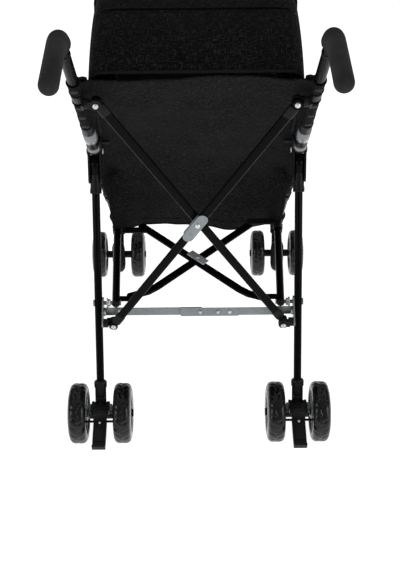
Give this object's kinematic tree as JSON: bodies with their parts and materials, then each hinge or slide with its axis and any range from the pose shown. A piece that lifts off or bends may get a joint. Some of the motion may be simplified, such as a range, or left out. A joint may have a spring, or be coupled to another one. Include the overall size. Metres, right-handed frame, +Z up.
{
  "type": "pet stroller",
  "caption": "Folding umbrella-frame pet stroller with a soft cabin and hood, mesh front door, twin castors in front, braked twin wheels behind.",
  "frame": {"origin": "centre of the whole stroller's footprint, on the floor", "axes": "+Y forward, the way the stroller is pushed, +X to its right, +Z up"},
  "size_m": [0.5468, 0.9828, 0.9391],
  "materials": {
    "black_tube": "gloss",
    "black_plastic": "satin",
    "joint_plastic": "gloss",
    "zinc_plate": "satin",
    "tread_foam": "matte",
    "rim_plastic": "satin",
    "grip_foam": "matte",
    "cover_cloth": "matte",
    "mesh_cloth": "matte"
  },
  "bodies": {
    "side_left": {"push_tube_left": "black_tube", "handle_grip_left": "grip_foam", "tube_clips_left": "black_plastic", "castor_socket_left": "black_plastic", "carrier_shell": "cover_cloth", "floor_mat": "cover_cloth"},
    "castor_left": {"castor_fork_left": "black_plastic", "front_axle_left": "zinc_plate"},
    "leg_left": {"rear_leg_left": "black_tube", "leg_top_joint_left": "joint_plastic", "axle_housing_left": "black_plastic", "rear_axle_left": "zinc_plate", "leg_bracket_left": "zinc_plate"},
    "brake_left": {"brake_pedal_left": "black_plastic"},
    "front_wheel_left_outer": {"front_tyre_left_outer": "tread_foam", "front_rim_left_outer": "rim_plastic"},
    "front_wheel_left_inner": {"front_tyre_left_inner": "tread_foam", "front_rim_left_inner": "rim_plastic"},
    "rear_wheel_left_outer": {"rear_tyre_left_outer": "tread_foam", "rear_rim_left_outer": "rim_plastic"},
    "rear_wheel_left_inner": {"rear_tyre_left_inner": "tread_foam", "rear_rim_left_inner": "rim_plastic"},
    "low_knuckle_left": {"lower_knuckle_left": "black_plastic"},
    "high_knuckle_left": {"upper_knuckle_left": "black_plastic"},
    "seat_left": {"seat_tube_left": "black_tube"},
    "glider_left": {"seat_glider_left": "black_plastic"},
    "lock_left": {"lock_bar_left": "zinc_plate"},
    "side_right": {"push_tube_right": "black_tube", "handle_grip_right": "grip_foam", "tube_clips_right": "black_plastic", "castor_socket_right": "black_plastic"},
    "castor_right": {"castor_fork_right": "black_plastic", "front_axle_right": "zinc_plate"},
    "leg_right": {"rear_leg_right": "black_tube", "leg_top_joint_right": "joint_plastic", "axle_housing_right": "black_plastic", "rear_axle_right": "zinc_plate", "leg_bracket_right": "zinc_plate"},
    "brake_right": {"brake_pedal_right": "black_plastic"},
    "front_wheel_right_outer": {"front_tyre_right_outer": "tread_foam", "front_rim_right_outer": "rim_plastic"},
    "front_wheel_right_inner": {"front_tyre_right_inner": "tread_foam", "front_rim_right_inner": "rim_plastic"},
    "rear_wheel_right_outer": {"rear_tyre_right_outer": "tread_foam", "rear_rim_right_outer": "rim_plastic"},
    "rear_wheel_right_inner": {"rear_tyre_right_inner": "tread_foam", "rear_rim_right_inner": "rim_plastic"},
    "low_knuckle_right": {"lower_knuckle_right": "black_plastic"},
    "high_knuckle_right": {"upper_knuckle_right": "black_plastic"},
    "seat_right": {"seat_tube_right": "black_tube"},
    "glider_right": {"seat_glider_right": "black_plastic"},
    "lock_right": {"lock_bar_right": "zinc_plate"},
    "cross_rear": {"cross_tube_rear": "black_tube", "cross_clamp": "zinc_plate"},
    "cross_front": {"cross_tube_front": "black_tube"},
    "brace_upper": {"seat_brace_upper": "black_tube"},
    "brace_lower": {"seat_brace_lower": "black_tube"},
    "hood": {"hood": "cover_cloth"},
    "door": {"mesh_door": "mesh_cloth"}
  },
  "joints": [
    {"name": "fold", "type": "hinge", "parent": "side_left", "child": "leg_left", "pos_m": [-0.204, 0.0334, 0.553], "axis": [1, 0, 0], "range_deg": [0, 36.1], "deforming": ["carrier_shell", "floor_mat", "mesh_door", "hood"]},
    {"name": "low_knuckle_left_turn", "type": "hinge", "parent": "leg_left", "child": "low_knuckle_left", "pos_m": [-0.183, -0.1306, 0.247], "axis": [1, 0, 0], "range_deg": [-16.08, 0]},
    {"name": "cross_rear_turn", "type": "hinge", "parent": "low_knuckle_left", "child": "cross_rear", "pos_m": [-0.172, -0.1306, 0.247], "axis": [0, -0.9943, -0.1067], "range_deg": [0, 25.41]},
    {"name": "cross_scissor", "type": "hinge", "parent": "cross_rear", "child": "cross_front", "pos_m": [0, -0.1576, 0.4985], "axis": [0, -0.9943, -0.1067], "range_deg": [-50.81, 0]},
    {"name": "low_knuckle_right_turn", "type": "hinge", "parent": "cross_front", "child": "low_knuckle_right", "pos_m": [0.172, -0.1306, 0.247], "axis": [0, -0.9943, -0.1067], "range_deg": [0, 25.41]},
    {"name": "leg_right_turn", "type": "hinge", "parent": "low_knuckle_right", "child": "leg_right", "pos_m": [0.183, -0.1306, 0.247], "axis": [1, 0, 0], "range_deg": [0, 16.08]},
    {"name": "fold_right", "type": "hinge", "parent": "leg_right", "child": "side_right", "pos_m": [0.204, 0.0334, 0.553], "axis": [1, 0, 0], "range_deg": [-36.1, 0]},
    {"name": "high_knuckle_left_turn", "type": "hinge", "parent": "side_left", "child": "high_knuckle_left", "pos_m": [-0.183, -0.1846, 0.75], "axis": [1, 0, 0], "range_deg": [0, 20.02]},
    {"name": "high_knuckle_right_turn", "type": "hinge", "parent": "side_right", "child": "high_knuckle_right", "pos_m": [0.183, -0.1846, 0.75], "axis": [1, 0, 0], "range_deg": [0, 20.02]},
    {"name": "seat_left_turn", "type": "hinge", "parent": "leg_left", "child": "seat_left", "pos_m": [-0.1684, -0.0966, 0.27333], "axis": [1, 0, 0], "range_deg": [0, 46.84]},
    {"name": "seat_right_turn", "type": "hinge", "parent": "leg_right", "child": "seat_right", "pos_m": [0.1684, -0.0966, 0.27333], "axis": [1, 0, 0], "range_deg": [0, 46.84]},
    {"name": "brace_turn", "type": "hinge", "parent": "seat_left", "child": "brace_upper", "pos_m": [-0.142, -0.08272, 0.27518], "axis": [0, -0.1323, 0.9912], "range_deg": [0, 45.06]},
    {"name": "brace_scissor", "type": "hinge", "parent": "brace_upper", "child": "brace_lower", "pos_m": [0, 0.03325, 0.29065], "axis": [0, -0.1323, 0.9912], "range_deg": [-90.11, 0]},
    {"name": "glider_left_slide", "type": "slide", "parent": "seat_left", "child": "glider_left", "axis": [-0.0419, 0.9903, 0.1321], "range_m": [0, 0.10785]},
    {"name": "glider_right_slide", "type": "slide", "parent": "seat_right", "child": "glider_right", "axis": [0.0419, 0.9903, 0.1321], "range_m": [0, 0.10785]},
    {"name": "lock_left_turn", "type": "hinge", "parent": "leg_left", "child": "lock_left", "pos_m": [-0.16, -0.1132, 0.262], "axis": [0, -0.9816, 0.1908], "range_deg": [0, 67.58]},
    {"name": "lock_right_turn", "type": "hinge", "parent": "leg_right", "child": "lock_right", "pos_m": [0.16, -0.1132, 0.262], "axis": [0, -0.9816, 0.1908], "range_deg": [-83.97, 0]},
    {"name": "castor_left_swivel", "type": "hinge", "parent": "side_left", "child": "castor_left", "pos_m": [-0.204, 0.4584, 0.13], "axis": [0, 0, 1], "continuous": true},
    {"name": "front_wheel_left_outer_spin", "type": "hinge", "parent": "castor_left", "child": "front_wheel_left_outer", "pos_m": [-0.253, 0.4324, 0.059], "axis": [1, 0, 0], "continuous": true},
    {"name": "rear_wheel_left_outer_spin", "type": "hinge", "parent": "leg_left", "child": "rear_wheel_left_outer", "pos_m": [-0.2495, -0.1946, 0.0625], "axis": [1, 0, 0], "continuous": true},
    {"name": "front_wheel_left_inner_spin", "type": "hinge", "parent": "castor_left", "child": "front_wheel_left_inner", "pos_m": [-0.155, 0.4324, 0.059], "axis": [1, 0, 0], "continuous": true},
    {"name": "rear_wheel_left_inner_spin", "type": "hinge", "parent": "leg_left", "child": "rear_wheel_left_inner", "pos_m": [-0.1585, -0.1946, 0.0625], "axis": [1, 0, 0], "continuous": true},
    {"name": "brake_left_turn", "type": "hinge", "parent": "leg_left", "child": "brake_left", "pos_m": [-0.204, -0.2186, 0.084], "axis": [1, 0, 0], "range_deg": [0, 14]},
    {"name": "castor_right_swivel", "type": "hinge", "parent": "side_right", "child": "castor_right", "pos_m": [0.204, 0.4584, 0.13], "axis": [0, 0, 1], "continuous": true},
    {"name": "front_wheel_right_outer_spin", "type": "hinge", "parent": "castor_right", "child": "front_wheel_right_outer", "pos_m": [0.253, 0.4324, 0.059], "axis": [1, 0, 0], "continuous": true},
    {"name": "rear_wheel_right_outer_spin", "type": "hinge", "parent": "leg_right", "child": "rear_wheel_right_outer", "pos_m": [0.2495, -0.1946, 0.0625], "axis": [1, 0, 0], "continuous": true},
    {"name": "front_wheel_right_inner_spin", "type": "hinge", "parent": "castor_right", "child": "front_wheel_right_inner", "pos_m": [0.155, 0.4324, 0.059], "axis": [1, 0, 0], "continuous": true},
    {"name": "rear_wheel_right_inner_spin", "type": "hinge", "parent": "leg_right", "child": "rear_wheel_right_inner", "pos_m": [0.1585, -0.1946, 0.0625], "axis": [1, 0, 0], "continuous": true},
    {"name": "brake_right_turn", "type": "hinge", "parent": "leg_right", "child": "brake_right", "pos_m": [0.204, -0.2186, 0.084], "axis": [1, 0, 0], "range_deg": [0, 14]},
    {"name": "hood_turn", "type": "hinge", "parent": "side_left", "child": "hood", "pos_m": [0, -0.0046, 0.591], "axis": [1, 0, 0], "range_deg": [0, 54]},
    {"name": "door_turn", "type": "hinge", "parent": "side_left", "child": "door", "pos_m": [0, 0.4784, 0.419], "axis": [1, 0, 0], "range_deg": [-150, 0]}
  ],
  "couplings": [
    {"joint": "low_knuckle_left_turn", "follows": "fold", "ratio": -0.44535},
    {"joint": "cross_rear_turn", "follows": "fold", "ratio": 0.70379},
    {"joint": "cross_scissor", "follows": "fold", "ratio": -1.4076},
    {"joint": "low_knuckle_right_turn", "follows": "fold", "ratio": 0.70379},
    {"joint": "leg_right_turn", "follows": "fold", "ratio": 0.44535},
    {"joint": "fold_right", "follows": "fold", "ratio": -1},
    {"joint": "high_knuckle_left_turn", "follows": "fold", "ratio": 0.55465},
    {"joint": "high_knuckle_right_turn", "follows": "fold", "ratio": 0.55465},
    {"joint": "seat_left_turn", "follows": "fold", "ratio": 1.2975},
    {"joint": "seat_right_turn", "follows": "fold", "ratio": 1.2975},
    {"joint": "brace_turn", "follows": "fold", "ratio": 1.2481},
    {"joint": "brace_scissor", "follows": "fold", "ratio": -2.4962},
    {"joint": "glider_left_slide", "follows": "fold", "m_per_rad": 0.17117},
    {"joint": "glider_right_slide", "follows": "fold", "m_per_rad": 0.17117},
    {"joint": "lock_left_turn", "follows": "fold", "ratio": 1.8719},
    {"joint": "lock_right_turn", "follows": "fold", "ratio": -2.3259}
  ]
}
